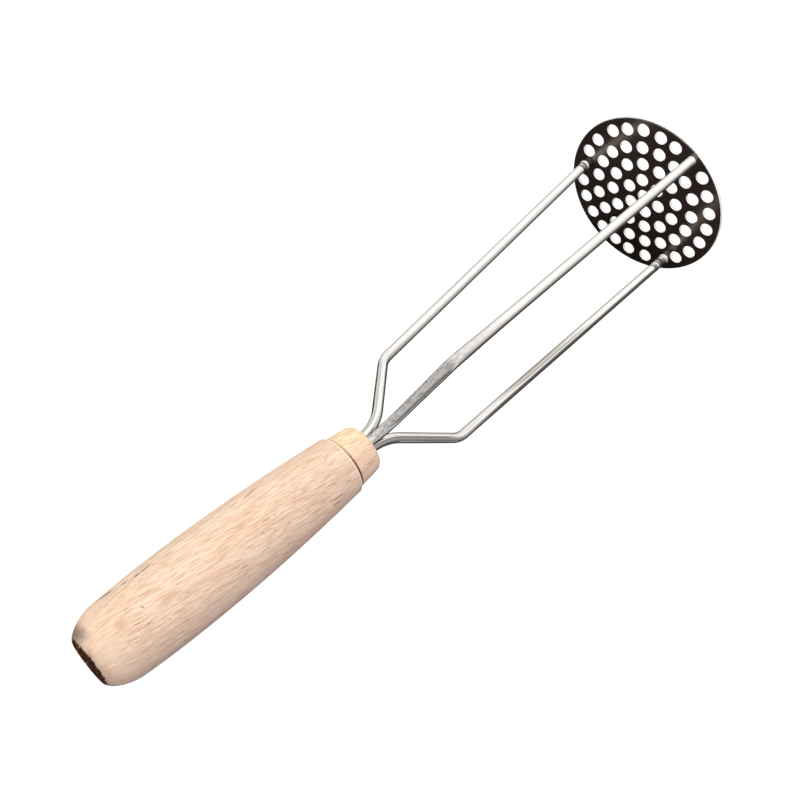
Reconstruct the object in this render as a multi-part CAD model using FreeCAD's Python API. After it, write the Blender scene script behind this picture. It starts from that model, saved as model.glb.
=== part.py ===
import FreeCAD, Part

import math
import os

# Hand masher: a round perforated steel plate, three bent steel rods and a turned wooden grip.
# +Z runs up from the plate to the grip and -Y is the front. The origin is the centre of the
# plate's underside, which is the face that the masher stands on. All sizes are in millimetres
# and all angles in degrees.

Vector = FreeCAD.Vector

# ---- Driving dimensions -------------------------------------------------------------------

# Perforated plate: a centre hole and four rings of 6, 12, 18 and 24 places, one pitch apart.
PLATE_DIAMETER = 71.5
PLATE_THICKNESS = 1.2
PLATE_EDGE_ROUND = 0.4
HOLE_DIAMETER = 5.5
HOLE_PITCH = 7.62
HOLE_EDGE_ROUND = 0.2
RING_COUNT = 4
HOLES_PER_RING_STEP = 6
HOLE_START_AZIMUTH = 15.0
# A hole place within this many degrees of a foot is left solid for the foot.
FOOT_REACH = 4.0
# The holes were punched one by one. The inner ring is turned by this much, and the holes
# that strayed furthest, by ring and number in it, are off by an azimuth and a radius.
INNER_RING_TURN = 3.7
STRAY_HOLES = {
    (3, 0): (-1.2, 0.0),
    (3, 1): (-2.0, -0.2),
    (3, 11): (1.6, 0.5),
    (3, 12): (1.2, 0.0),
    (4, 7): (-1.2, 0.0),
    (4, 16): (0.2, 0.9),
    (4, 19): (-1.4, 0.0),
    (4, 20): (-1.3, 0.5),
    (4, 21): (-2.0, 0.1),
    (4, 22): (-3.2, 0.3),
}

# Legs: round rod, bent twice. Each one was bent by hand, so the three differ a little.
ROD_DIAMETER = 4.0
LOWER_BEND_RADIUS = 9.5
UPPER_BEND_RADIUS = 22.0
TANG_RING_RADIUS = 2.55
LEGS = {
    "front_leg": {
        "foot_azimuth": -90.0,
        "foot_radius": 31.8,
        "bend_azimuth": -83.1,
        "bend_radius": 24.4,
        "bend_height": 140.7,
        "tang_azimuth": -92.0,
        "has_collar": False,
        "groove_heights": [],
    },
    "right_leg": {
        "foot_azimuth": 30.5,
        "foot_radius": 30.1,
        "bend_azimuth": 34.2,
        "bend_radius": 22.1,
        "bend_height": 140.7,
        "tang_azimuth": 33.0,
        "has_collar": True,
        "groove_heights": [1.5],
    },
    "left_leg": {
        "foot_azimuth": 153.0,
        "foot_radius": 30.6,
        "bend_azimuth": 152.0,
        "bend_radius": 24.9,
        "bend_height": 137.7,
        "tang_azimuth": 152.0,
        "has_collar": True,
        "groove_heights": [3.7, 5.8],
    },
}

# Foot of each leg: its end stands on the plate, on two legs slightly swollen into a collar. A
# spigot goes through the plate and is hammered out into a countersink, flush with the underside.
COLLAR_DIAMETER = 4.5
COLLAR_HEIGHT = 1.0
COLLAR_EDGE_ROUND = 0.2
SPIGOT_DIAMETER = 3.0
RIVET_HEAD_DIAMETER = 4.4
RIVET_HEAD_HEIGHT = 0.7
GROOVE_DEPTH = 0.3
GROOVE_WIRE_RADIUS = 0.55

# Grip axis: it starts level with the place where the three rods come together, half a
# millimetre to the left of their middle, and leans a little off the vertical.
GRIP_ROOT_HEIGHT = 166.4
GRIP_ROOT_OFFSET = -0.5
GRIP_LEAN = 3.5
GRIP_LEAN_AZIMUTH = 9.0

# Turned grip. Every length is measured up the grip axis from its root.
NOSE_START = 8.8
NOSE_FLAT_RADIUS = 7.7
NOSE_ROUND_END = 10.8
NOSE_ROUND_RADIUS = 9.1
SHOULDER_START = 19.3
NOSE_TOP_RADIUS = 10.15
BURNT_GROOVE_DEPTH = 0.4
BURNT_GROOVE_WIDTH = 0.35
SHOULDER_RADIUS = 11.05
SHOULDER_BEVEL = 0.3
BELLY_POSITION = 82.0
BELLY_RADIUS = 14.05
BUTT_ROUND_START = 110.5
BUTT_ROUND_RADIUS = 13.2
BUTT_END = 120.8
BUTT_FLAT_RADIUS = 7.8
BUTT_RECESS_RADIUS = 7.2
BUTT_RECESS_DEPTH = 0.35

# Blind bore for the three tangs, with a drill-point end.
BORE_DIAMETER = 10.1
BORE_END = 66.0
DRILL_POINT_LENGTH = 2.8
TANG_END = 60.0
TANG_WELD_DIAMETER = 9.0
TANG_WELD_HEIGHT = 2.6
RESIN_START = 9.7

CUT_OVERRUN = 1.0


# ---- Geometry helpers ---------------------------------------------------------------------


def polar(radius, azimuth, height):
    """Point at a radius and azimuth about the Z axis."""
    angle = math.radians(azimuth)
    return Vector(radius * math.cos(angle), radius * math.sin(angle), height)


def grip_direction():
    """Unit vector up the leaning grip axis."""
    lean = math.radians(GRIP_LEAN)
    sideways = polar(math.sin(lean), GRIP_LEAN_AZIMUTH, 0.0)
    return sideways + Vector(0.0, 0.0, math.cos(lean))


def on_grip_axis(shape):
    """Moves a shape made about the Z axis so that Z becomes the grip axis and 0 its root."""
    tilt = FreeCAD.Rotation(Vector(0.0, 0.0, 1.0), grip_direction())
    placed = shape.copy()
    root = Vector(GRIP_ROOT_OFFSET, 0.0, GRIP_ROOT_HEIGHT)
    placed.Placement = FreeCAD.Placement(root, tilt)
    return placed


def rounded_path(points, radii):
    """Wire through the points, with an arc of the given radius at each inner point."""
    edges = []
    start = points[0]
    for before, corner, after, radius in zip(points, points[1:], points[2:], radii):
        arriving = (corner - before).normalize()
        leaving = (after - corner).normalize()
        half_turn = arriving.getAngle(leaving) / 2.0
        setback = radius * math.tan(half_turn)
        arc_start = corner - arriving * setback
        arc_end = corner + leaving * setback
        inward = (leaving - arriving).normalize()
        arc_middle = corner + inward * (radius / math.cos(half_turn) - radius)
        edges.append(Part.LineSegment(start, arc_start).toShape())
        edges.append(Part.Arc(arc_start, arc_middle, arc_end).toShape())
        start = arc_end
    edges.append(Part.LineSegment(start, points[-1]).toShape())
    return Part.Wire(edges)


def rod_along(path, start, direction, diameter):
    """Solid round rod swept along a wire."""
    circle = Part.Wire(Part.makeCircle(diameter / 2.0, start, direction))
    return path.makePipeShell([circle], True, False)


def revolved(edges):
    """Solid of revolution about Z from edges in the XZ plane that close a face."""
    face = Part.Face(Part.Wire(edges))
    return face.revolve(Vector(0.0, 0.0, 0.0), Vector(0.0, 0.0, 1.0), 360.0)


def profile_line(start, end):
    """Straight profile edge between two (radius, height) pairs."""
    first = Vector(start[0], 0.0, start[1])
    last = Vector(end[0], 0.0, end[1])
    return Part.LineSegment(first, last).toShape()


def profile_curve(points, start_slope, end_slope):
    """Smooth profile edge through (radius, height) pairs, leaving and arriving as given."""
    curve = Part.BSplineCurve()
    curve.interpolate(
        Points=[Vector(radius, 0.0, height) for radius, height in points],
        InitialTangent=Vector(start_slope[0], 0.0, start_slope[1]),
        FinalTangent=Vector(end_slope[0], 0.0, end_slope[1]),
    )
    return curve.toShape()


def filled_bore(start, radius, end):
    """Plug that fills the blind bore from a start height to the tip of the drill point."""
    tip = end + DRILL_POINT_LENGTH
    barrel = Part.makeCylinder(radius, end - start, Vector(0.0, 0.0, start))
    point = Part.makeCone(radius, 0.0, tip - end, Vector(0.0, 0.0, end))
    return barrel.fuse(point).removeSplitter()


# ---- Plate --------------------------------------------------------------------------------


def hole_places():
    """Azimuth and radius of every hole; the legs' feet take three places of the last ring."""
    taken = [leg["foot_azimuth"] % 360.0 for leg in LEGS.values()]
    places = [(0.0, 0.0)]
    for ring in range(1, RING_COUNT + 1):
        count = HOLES_PER_RING_STEP * ring
        start = HOLE_START_AZIMUTH + (INNER_RING_TURN if ring == 1 else 0.0)
        for index in range(count):
            azimuth = (start + index * 360.0 / count) % 360.0
            is_foot = ring == RING_COUNT and any(abs(azimuth - foot) < FOOT_REACH for foot in taken)
            if not is_foot:
                turned, outward = STRAY_HOLES.get((ring, index), (0.0, 0.0))
                places.append((azimuth + turned, ring * HOLE_PITCH + outward))
    return places


def spigot_with_head(leg):
    """Rivet spigot of one foot, from the flush head at the underside to the plate's top."""
    foot = polar(leg["foot_radius"], leg["foot_azimuth"], 0.0)
    head = Part.makeCone(
        RIVET_HEAD_DIAMETER / 2.0, SPIGOT_DIAMETER / 2.0, RIVET_HEAD_HEIGHT, foot
    )
    shank_start = foot + Vector(0.0, 0.0, RIVET_HEAD_HEIGHT)
    shank_length = PLATE_THICKNESS - RIVET_HEAD_HEIGHT
    shank = Part.makeCylinder(SPIGOT_DIAMETER / 2.0, shank_length, shank_start)
    return head.fuse(shank)


def circles_at_height(shape, height):
    """Circular edges of a shape that lie in one horizontal plane."""
    found = []
    for edge in shape.Edges:
        box = edge.BoundBox
        is_flat = box.ZLength < 1e-6 and abs(box.ZMin - height) < 1e-6
        if is_flat and isinstance(edge.Curve, Part.Circle):
            found.append(edge)
    return found


def make_mash_plate():
    """Round stamped plate with its rings of holes; the punched edges are rolled over on top."""
    plate = Part.makeCylinder(PLATE_DIAMETER / 2.0, PLATE_THICKNESS)
    rim_edge = circles_at_height(plate, PLATE_THICKNESS)
    plate = plate.makeFillet(PLATE_EDGE_ROUND, rim_edge)
    depth = PLATE_THICKNESS + 2.0 * CUT_OVERRUN
    drills = []
    for azimuth, radius in hole_places():
        drills.append(Part.makeCylinder(HOLE_DIAMETER / 2.0, depth, polar(radius, azimuth, -CUT_OVERRUN)))
    plate = plate.cut(Part.makeCompound(drills))
    hole_edges = []
    for edge in circles_at_height(plate, PLATE_THICKNESS):
        if abs(edge.Curve.Radius - HOLE_DIAMETER / 2.0) < 0.01:
            hole_edges.append(edge)
    plate = plate.makeFillet(HOLE_EDGE_ROUND, hole_edges)
    spigots = [spigot_with_head(leg) for leg in LEGS.values()]
    return plate.cut(Part.makeCompound(spigots))


# ---- Legs ---------------------------------------------------------------------------------


def leg_corners(leg):
    """The four corner points of one leg's centre line, from its foot to the end of its tang."""
    foot = polar(leg["foot_radius"], leg["foot_azimuth"], PLATE_THICKNESS)
    bend = polar(leg["bend_radius"], leg["bend_azimuth"], leg["bend_height"])
    entry = polar(TANG_RING_RADIUS, leg["tang_azimuth"], GRIP_ROOT_HEIGHT)
    tang_end = entry + grip_direction() * TANG_END
    return [foot, bend, entry, tang_end]


def foot_collar(leg):
    """Swollen end that the foot stands on, rounded at its top edge."""
    base = polar(leg["foot_radius"], leg["foot_azimuth"], PLATE_THICKNESS)
    collar = Part.makeCylinder(COLLAR_DIAMETER / 2.0, COLLAR_HEIGHT, base)
    top_edge = circles_at_height(collar, PLATE_THICKNESS + COLLAR_HEIGHT)
    return collar.makeFillet(COLLAR_EDGE_ROUND, top_edge)


def clamp_groove(foot, direction, height):
    """Ring cut that a clamping jaw leaves round the rod, at a height above the foot."""
    centre = foot + direction * height
    ring_radius = ROD_DIAMETER / 2.0 + GROOVE_WIRE_RADIUS - GROOVE_DEPTH
    return Part.makeTorus(ring_radius, GROOVE_WIRE_RADIUS, centre, direction)


def make_leg(leg):
    """One rod from its riveted foot, over two bends, to the end of its tang in the grip."""
    corners = leg_corners(leg)
    foot = corners[0]
    direction = (corners[1] - foot).normalize()
    # The rod's foot end is cut level with the plate, so the sweep starts a little lower.
    below = foot - direction * CUT_OVERRUN
    path = rounded_path([below] + corners[1:], [LOWER_BEND_RADIUS, UPPER_BEND_RADIUS])
    rod = rod_along(path, below, direction, ROD_DIAMETER)
    trim_size = 2.0 * PLATE_DIAMETER
    trim_corner = Vector(-trim_size / 2.0, -trim_size / 2.0, PLATE_THICKNESS - trim_size)
    rod = rod.cut(Part.makeBox(trim_size, trim_size, trim_size, trim_corner))
    for height in leg["groove_heights"]:
        rod = rod.cut(clamp_groove(foot, direction, height))
    if leg["has_collar"]:
        rod = rod.fuse(foot_collar(leg))
    rod = rod.fuse(spigot_with_head(leg))
    return rod.removeSplitter()


# ---- Grip ---------------------------------------------------------------------------------


def make_handle():
    """Turned wooden grip: rounded nose, burnt line, belly and rounded butt with a flat end."""
    nose_end = (NOSE_ROUND_RADIUS, NOSE_ROUND_END)
    nose_top = (NOSE_TOP_RADIUS, SHOULDER_START)
    groove_floor = (NOSE_TOP_RADIUS - BURNT_GROOVE_DEPTH, SHOULDER_START + BURNT_GROOVE_WIDTH)
    bevel_start = (SHOULDER_RADIUS - SHOULDER_BEVEL, groove_floor[1])
    bevel_end = (SHOULDER_RADIUS, groove_floor[1] + SHOULDER_BEVEL)
    belly = (BELLY_RADIUS, BELLY_POSITION)
    butt_start = (BUTT_ROUND_RADIUS, BUTT_ROUND_START)
    butt_edge = (BUTT_FLAT_RADIUS, BUTT_END)
    recess_edge = (BUTT_RECESS_RADIUS, BUTT_END)
    recess_floor = (BUTT_RECESS_RADIUS - BUTT_RECESS_DEPTH, BUTT_END - BUTT_RECESS_DEPTH)
    axis_top = (0.0, BUTT_END - BUTT_RECESS_DEPTH)
    axis_bottom = (0.0, NOSE_START)
    belly_rise = (0.074, 1.0)
    butt_fall = (-0.075, 1.0)
    edges = [
        profile_line(axis_bottom, (NOSE_FLAT_RADIUS, NOSE_START)),
        profile_curve([(NOSE_FLAT_RADIUS, NOSE_START), nose_end], (1.0, 0.34), (0.16, 1.0)),
        profile_line(nose_end, nose_top),
        profile_line(nose_top, groove_floor),
        profile_line(groove_floor, bevel_start),
        profile_line(bevel_start, bevel_end),
        profile_curve([bevel_end, belly, butt_start], belly_rise, butt_fall),
        profile_curve([butt_start, butt_edge], butt_fall, (-1.0, 0.42)),
        profile_line(butt_edge, recess_edge),
        profile_line(recess_edge, recess_floor),
        profile_line(recess_floor, axis_top),
        profile_line(axis_top, axis_bottom),
    ]
    bore = filled_bore(NOSE_START - CUT_OVERRUN, BORE_DIAMETER / 2.0, BORE_END)
    return on_grip_axis(revolved(edges).cut(bore))


def make_tang_weld():
    """Tack that joins the ends of the three tangs inside the grip."""
    radius = TANG_WELD_DIAMETER / 2.0
    bead = Part.makeCylinder(radius, TANG_WELD_HEIGHT, Vector(0.0, 0.0, TANG_END))
    top_edge = circles_at_height(bead, TANG_END + TANG_WELD_HEIGHT)
    return on_grip_axis(bead.makeFillet(TANG_WELD_HEIGHT / 2.0, top_edge))


def make_bore_resin(inner_pieces):
    """Resin that fills the bore around the tangs and their weld."""
    resin = on_grip_axis(filled_bore(RESIN_START, BORE_DIAMETER / 2.0, BORE_END))
    for piece in inner_pieces:
        resin = resin.cut(piece)
    return resin


# ---- Assembly -----------------------------------------------------------------------------


def build_parts():
    """Every sub-part of the masher by its name."""
    parts = {"mash_plate": make_mash_plate()}
    for name, leg in LEGS.items():
        parts[name] = make_leg(leg)
    parts["handle"] = make_handle()
    parts["tang_weld"] = make_tang_weld()
    tangs = [parts[name] for name in LEGS]
    parts["bore_resin"] = make_bore_resin(tangs + [parts["tang_weld"]])
    return parts


def main():
    os.makedirs("parts", exist_ok=True)
    for name, shape in build_parts().items():
        solid_count = len(shape.Solids)
        print(name, "solids", solid_count, "valid", shape.isValid(), "volume", round(shape.Volume, 1))
        shape.exportStep("parts/" + name + ".step")


main()
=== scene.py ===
import math

import bpy
from mathutils import Matrix, Quaternion, Vector


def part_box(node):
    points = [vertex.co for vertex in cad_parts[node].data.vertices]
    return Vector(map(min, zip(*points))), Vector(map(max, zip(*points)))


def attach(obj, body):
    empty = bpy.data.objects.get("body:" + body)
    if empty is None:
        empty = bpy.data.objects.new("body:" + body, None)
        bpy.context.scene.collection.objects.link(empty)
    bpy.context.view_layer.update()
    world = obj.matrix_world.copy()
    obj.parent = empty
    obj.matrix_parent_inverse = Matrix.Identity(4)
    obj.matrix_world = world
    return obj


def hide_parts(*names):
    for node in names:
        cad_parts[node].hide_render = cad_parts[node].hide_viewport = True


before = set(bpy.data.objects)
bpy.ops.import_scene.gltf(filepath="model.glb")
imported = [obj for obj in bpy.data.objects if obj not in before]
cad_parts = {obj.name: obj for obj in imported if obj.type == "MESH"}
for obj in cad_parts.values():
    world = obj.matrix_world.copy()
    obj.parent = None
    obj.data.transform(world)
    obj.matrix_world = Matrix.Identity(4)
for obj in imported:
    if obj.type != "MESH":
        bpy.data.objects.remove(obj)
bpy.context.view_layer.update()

# Hand masher: a perforated steel plate, three bent steel rods and a turned wooden grip.
# Lengths are in metres, in the CAD frame: +Z from the plate to the grip, -Y the front.

MM = 0.001

# ---- Dimensions of the detailed pieces ----------------------------------------------------

PLATE_LOW, PLATE_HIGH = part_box("mash_plate")
PLATE_TOP = PLATE_HIGH.z

ROD_RADIUS = 2.0 * MM
# The tangs are the rods' upper ends. They run side by side in the grip, round a small circle.
TANG_RING_RADIUS = 2.55 * MM
TANG_LENGTH = 60.0 * MM
LOWER_BEND_RADIUS = 9.5 * MM
UPPER_BEND_RADIUS = 22.0 * MM

# Each leg was bent by hand, so the three differ a little. foot is a radius and an azimuth in
# degrees about the Z axis, and bend is a radius, an azimuth and a height. The grooves are
# rings pressed round the foot and the bands are painted reflections of the dark plate, both
# at heights above the plate's top. bend_spread is how much wider the rod was squashed where
# it was bent.
LEGS = {
    "front_leg": {
        "foot": (31.8 * MM, -90.0),
        "bend": (24.4 * MM, -83.1, 140.7 * MM),
        "tang_azimuth": -92.0,
        "has_collar": False,
        "grooves": [],
        "plate_reflection_bands": [],
        "bend_spread": 0.14,
    },
    "right_leg": {
        "foot": (30.1 * MM, 30.5),
        "bend": (22.1 * MM, 34.2, 140.7 * MM),
        "tang_azimuth": 33.0,
        "has_collar": True,
        "grooves": [1.5 * MM],
        "plate_reflection_bands": [(1.9 * MM, 3.6 * MM)],
        "bend_spread": 0.06,
    },
    "left_leg": {
        "foot": (30.6 * MM, 153.0),
        "bend": (24.9 * MM, 152.0, 137.7 * MM),
        "tang_azimuth": 152.0,
        "has_collar": True,
        "grooves": [3.7 * MM, 5.8 * MM],
        "plate_reflection_bands": [(1.2 * MM, 4.6 * MM), (7.4 * MM, 9.2 * MM)],
        "bend_spread": 0.06,
    },
}
BEND_SPREAD_REACH = 16.0 * MM
# How much thinner the squashed rod is, as a part of how much wider it is.
BEND_FLATTENING = 0.6
BEND_STEP = math.radians(2.5)
LEAST_BEND_STEPS = 8

COLLAR_RADIUS = 2.25 * MM
COLLAR_HEIGHT = 1.0 * MM
SPIGOT_RADIUS = 1.5 * MM
RIVET_HEAD_RADIUS = 2.2 * MM
RIVET_HEAD_HEIGHT = 0.7 * MM
GROOVE_DEPTH = 0.3 * MM
GROOVE_HALF_WIDTH = 0.45 * MM
# The rod has fine rings up to this height above the plate's top.
FOOT_HEIGHT = 12.0 * MM
FOOT_RING_SPACING = 0.1 * MM
ROD_SIDES = 48

# The grip's axis starts at its root, where the rods come together, and leans from upright.
GRIP_ROOT = Vector((-0.5, 0.0, 166.4)) * MM
GRIP_LEAN = math.radians(3.5)
GRIP_LEAN_AZIMUTH = math.radians(9.0)
GRIP_AXIS = Vector((
    math.sin(GRIP_LEAN) * math.cos(GRIP_LEAN_AZIMUTH),
    math.sin(GRIP_LEAN) * math.sin(GRIP_LEAN_AZIMUTH),
    math.cos(GRIP_LEAN),
))
GRIP_TURN = Vector((0.0, 0.0, 1.0)).rotation_difference(GRIP_AXIS)
GRIP_FRAME = Matrix.Translation(GRIP_ROOT) @ GRIP_TURN.to_matrix().to_4x4()

# Heights along the grip axis, from its root, and radii of the turned profile.
NOSE_START = 8.8 * MM
NOSE_FLAT_RADIUS = 7.7 * MM
NOSE_ROUND_END = 10.8 * MM
NOSE_ROUND_RADIUS = 9.1 * MM
SHOULDER_START = 19.3 * MM
NOSE_TOP_RADIUS = 10.15 * MM
BURNT_GROOVE_DEPTH = 0.4 * MM
BURNT_GROOVE_WIDTH = 0.35 * MM
SHOULDER_RADIUS = 11.05 * MM
SHOULDER_BEVEL = 0.3 * MM
BELLY_POSITION = 82.0 * MM
BELLY_RADIUS = 14.05 * MM
BUTT_ROUND_START = 110.5 * MM
BUTT_ROUND_RADIUS = 13.2 * MM
BUTT_END = 120.8 * MM
BUTT_FLAT_RADIUS = 7.8 * MM
BUTT_RECESS_RADIUS = 7.2 * MM
BUTT_RECESS_DEPTH = 0.35 * MM
BORE_RADIUS = 5.05 * MM
BORE_END = 66.0 * MM
DRILL_POINT_LENGTH = 2.8 * MM
# Change of radius with height just above the shoulder and just below the rounded butt.
SHOULDER_FLARE = 0.085
BUTT_TAPER = -0.075
# Slopes of the two rounded ends' outlines, at the start and the end of each.
NOSE_ROUNDING = ((2.4 * MM, 0.5 * MM), (0.4 * MM, 3.0 * MM))
BUTT_ROUNDING = ((-1.0 * MM, 12.0 * MM), (-8.0 * MM, 3.0 * MM))
GRIP_SIDES = 240


# ---- Colours and marks --------------------------------------------------------------------

PALE_WOOD = (0.72, 0.545, 0.405, 1.0)
CREAM_WOOD = (0.78, 0.635, 0.49, 1.0)
PEACH_WOOD = (0.69, 0.455, 0.32, 1.0)
RING_WOOD = (0.57, 0.345, 0.235, 1.0)
FIBRE_WOOD = (0.52, 0.32, 0.205, 1.0)
FLECK_WOOD = (0.26, 0.14, 0.09, 1.0)
# Painted highlight on the shoulder's arris.
ARRIS_HIGHLIGHT = (0.88, 0.78, 0.58, 1.0)
# Burnt line below the shoulder, also darkened with painted shade on the grip's shaded side.
BURNT_AND_SHADED_WOOD = (0.13, 0.045, 0.02, 1.0)
HALO_WOOD = (0.24, 0.165, 0.135, 1.0)
STAIN_DARK = (0.009, 0.003, 0.002, 1.0)
STAIN_RED = (0.105, 0.032, 0.018, 1.0)
# Painted shade inside open pores and small splits on the grip.
SPLIT_SHADE = (0.10, 0.065, 0.045, 1.0)
# Painted light and shade on the nose: yellower on the lit side, pinker on the shaded side.
LIT_SIDE_TINT = (1.10, 1.20, 1.06, 1.0)
SHADED_SIDE_TINT = (1.07, 1.0, 0.98, 1.0)

BRIGHT_STEEL = (0.83, 0.82, 0.80, 1.0)
DRAWN_STEEL = (0.70, 0.68, 0.66, 1.0)
# Worn steel, also used as painted shade in a stripe along the front leg's shaded side.
WORN_AND_SHADED_STEEL = (0.42, 0.365, 0.34, 1.0)
# Painted reflection: khaki stripe along the left leg.
KHAKI_REFLECTION = (0.42, 0.395, 0.33, 1.0)
# Scuffs, and painted shade in stripes along the rods.
SCUFFED_AND_SHADED_STEEL = (0.21, 0.195, 0.19, 1.0)
# Painted reflection of the dark plate on the rods' feet.
PLATE_REFLECTION_PURPLE = (0.19, 0.165, 0.175, 1.0)
# Near-black painted reflection and shade: along the rods' dark sides, along the bands at the
# feet and in the grooves.
DARK_REFLECTION_AND_SHADE = (0.05, 0.042, 0.040, 1.0)
PLATE_BROWN = (0.25, 0.195, 0.165, 1.0)
PLATE_GREY = (0.29, 0.25, 0.205, 1.0)
PLATE_PURPLE = (0.30, 0.22, 0.20, 1.0)
# Cut steel of the plate's walls, painted near white so that they show no darker reflections.
CUT_STEEL_PAINTED_LIGHT = (0.88, 0.865, 0.855, 1.0)
# Painted shade along the foot of the plate's cut walls, where the plate stands on the floor.
CONTACT_SHADE_STEEL = (0.20, 0.19, 0.185, 1.0)
WELD_STEEL = (0.45, 0.43, 0.42, 1.0)
AMBER_RESIN = (0.62, 0.50, 0.32, 1.0)

# The grip's fibres run a little across its axis, and the pith of the tree lay behind it.
FIBRE_DIRECTION = Vector((0.20, -0.07, 1.0)).normalized()
FIBRE_SLANT = 0.13
PITH_OFFSET = (6.0 * MM, -38.0 * MM)
RING_WIDTH = 2.9 * MM
RING_WOBBLE = 2.6 * MM

# Where the burnt line ends below the shoulder, and how far the painted highlight on its arris
# reaches.
BURNT_LINE_REACH = 0.95 * MM
ARRIS_HIGHLIGHT_REACH = 0.45 * MM

# The stain on the butt's end grain, and the darkened wood round it, as radii and as reaches
# along the axis from the end.
STAIN_RADIUS = 7.8 * MM
STAIN_RAGGEDNESS = 2.2 * MM
STAIN_REACH = 2.6 * MM
HALO_RADIUS = 10.0 * MM
HALO_REACH = 7.0 * MM

# Distances along a rod, from the plate's underside, over which wear and scuffs set in.
WORN_START = 112.0 * MM
WORN_FULLY = 128.0 * MM
SCUFFED_START = 134.0 * MM
SCUFFED_FULLY = 142.0 * MM

# No rod is this long in millimetres, so a stripe that fades here never fades.
NEVER = (900, 901)


def reflection_stripe(first, last, color, grows, fades, least, most):
    """A stripe of painted reflection and shade along a rod, between two azimuths in degrees.
    Its strength is the least at the foot, rises to the most over the distances that it grows
    over, and falls back again. The distances are in millimetres. A rod's azimuth ends at -180
    and 180, so a limit past those means that the stripe goes up to the seam there."""
    return {
        "first": math.radians(first),
        "last": math.radians(last),
        "color": color,
        "grows": (grows[0] * MM, grows[1] * MM),
        "fades": (fades[0] * MM, fades[1] * MM),
        "least": least,
        "most": most,
    }


# Painted reflections and painted shade along the rods' sides, one list for each leg: khaki and
# dark stripes that stand in for what the steel mirrors and for its shaded side.
LEFT_LEG_REFLECTIONS = [
    reflection_stripe(-71.0, -5.0, KHAKI_REFLECTION, (58, 86), (102, 120), 0.12, 0.80),
    reflection_stripe(-82.0, -71.0, SCUFFED_AND_SHADED_STEEL, (50, 70), (98, 112), 0.0, 0.85),
    reflection_stripe(-135.0, -97.0, SCUFFED_AND_SHADED_STEEL, (7, 13), (112, 135), 0.35, 0.95),
    reflection_stripe(-106.0, -88.0, SCUFFED_AND_SHADED_STEEL, (140, 146), NEVER, 0.0, 0.90),
    reflection_stripe(-168.0, -128.0, SCUFFED_AND_SHADED_STEEL, (140, 146), NEVER, 0.0, 0.35),
]
RIGHT_LEG_REFLECTIONS = [
    reflection_stripe(-53.0, -32.0, SCUFFED_AND_SHADED_STEEL, (140, 146), NEVER, 0.0, 0.45),
]
FRONT_LEG_REFLECTIONS = [
    reflection_stripe(-160.0, -116.0, WORN_AND_SHADED_STEEL, (2, 4), (134, 140), 0.0, 0.60),
    reflection_stripe(-200.0, -131.0, DARK_REFLECTION_AND_SHADE, (108, 124), (158, 172), 0.0, 0.75),
    reflection_stripe(-200.0, -133.0, SCUFFED_AND_SHADED_STEEL, (140, 146), NEVER, 0.0, 0.70),
    reflection_stripe(140.0, 190.0, DARK_REFLECTION_AND_SHADE, (108, 124), NEVER, 0.0, 0.70),
]


def wood_line(azimuth, height, slant, length, width, strength, color=SPLIT_SHADE):
    """One mark on the grip. Angles are in degrees: azimuth about the grip axis, and slant
    away from it. Lengths are in millimetres, and height is along the grip from its root."""
    return {
        "azimuth": azimuth,
        "height": height * MM,
        "slant": slant,
        "length": length * MM,
        "width": width * MM,
        "strength": strength,
        "color": color,
    }


WOOD_MARKS = [
    # Open pores and small splits, painted dark with the shade inside them.
    wood_line(-29.3, 92.6, -9.0, 6.2, 0.85, 1.0),
    wood_line(-29.5, 95.9, -2.0, 3.2, 1.00, 1.0),
    wood_line(-25.1, 100.0, 1.0, 3.6, 0.80, 0.9),
    wood_line(-15.3, 106.2, 14.0, 8.5, 1.6, 0.9),
    wood_line(-33.1, 53.3, -8.7, 9.0, 0.75, 0.8),
    wood_line(-127.6, 30.7, 13.3, 9.0, 0.60, 0.8),
    wood_line(-136.9, 31.3, 17.3, 7.5, 0.60, 0.8),
    wood_line(-73.8, 101.2, 72.0, 1.7, 0.5, 0.9),
    wood_line(-44.2, 35.1, -9.0, 1.8, 0.4, 0.6),
    wood_line(-105.9, 50.6, 8.0, 2.4, 0.45, 0.6),
    wood_line(-93.4, 59.5, -4.0, 1.7, 0.5, 0.6),
    wood_line(-106.4, 97.0, 6.0, 1.4, 0.45, 0.6),
    wood_line(-122.5, 92.8, 4.0, 1.4, 0.4, 0.55),
    # Redder wood.
    wood_line(-104.3, 75.3, 12.7, 28.0, 1.5, 0.7, RING_WOOD),
    wood_line(-98.0, 80.0, 12.0, 20.0, 6.5, 0.5, PEACH_WOOD),
    wood_line(-74.8, 109.0, 75.0, 5.6, 4.2, 0.65, RING_WOOD),
    wood_line(-92.6, 105.7, 14.0, 9.5, 1.1, 0.75, RING_WOOD),
    wood_line(-85.0, 93.0, 6.0, 7.5, 2.4, 0.7, RING_WOOD),
]


# ---- Mesh helpers -------------------------------------------------------------------------


def polar(radius, azimuth_degrees, height):
    """Point at a radius and azimuth about the Z axis."""
    angle = math.radians(azimuth_degrees)
    return Vector((radius * math.cos(angle), radius * math.sin(angle), height))


def hermite(start, start_slope, end, end_slope, count):
    """Points of a cubic from start to end, leaving out the start itself."""
    points = []
    for step in range(1, count + 1):
        t = step / count
        of_start = 2 * t**3 - 3 * t**2 + 1
        of_start_slope = t**3 - 2 * t**2 + t
        of_end = -2 * t**3 + 3 * t**2
        of_end_slope = t**3 - t**2
        points.append(tuple(
            of_start * start[i] + of_start_slope * start_slope[i]
            + of_end * end[i] + of_end_slope * end_slope[i]
            for i in (0, 1)
        ))
    return points


def straight(start, end, count):
    """Evenly spaced points from start to end, leaving out the start itself."""
    points = []
    for step in range(1, count + 1):
        t = step / count
        points.append(tuple(start[i] + t * (end[i] - start[i]) for i in (0, 1)))
    return points


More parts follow.
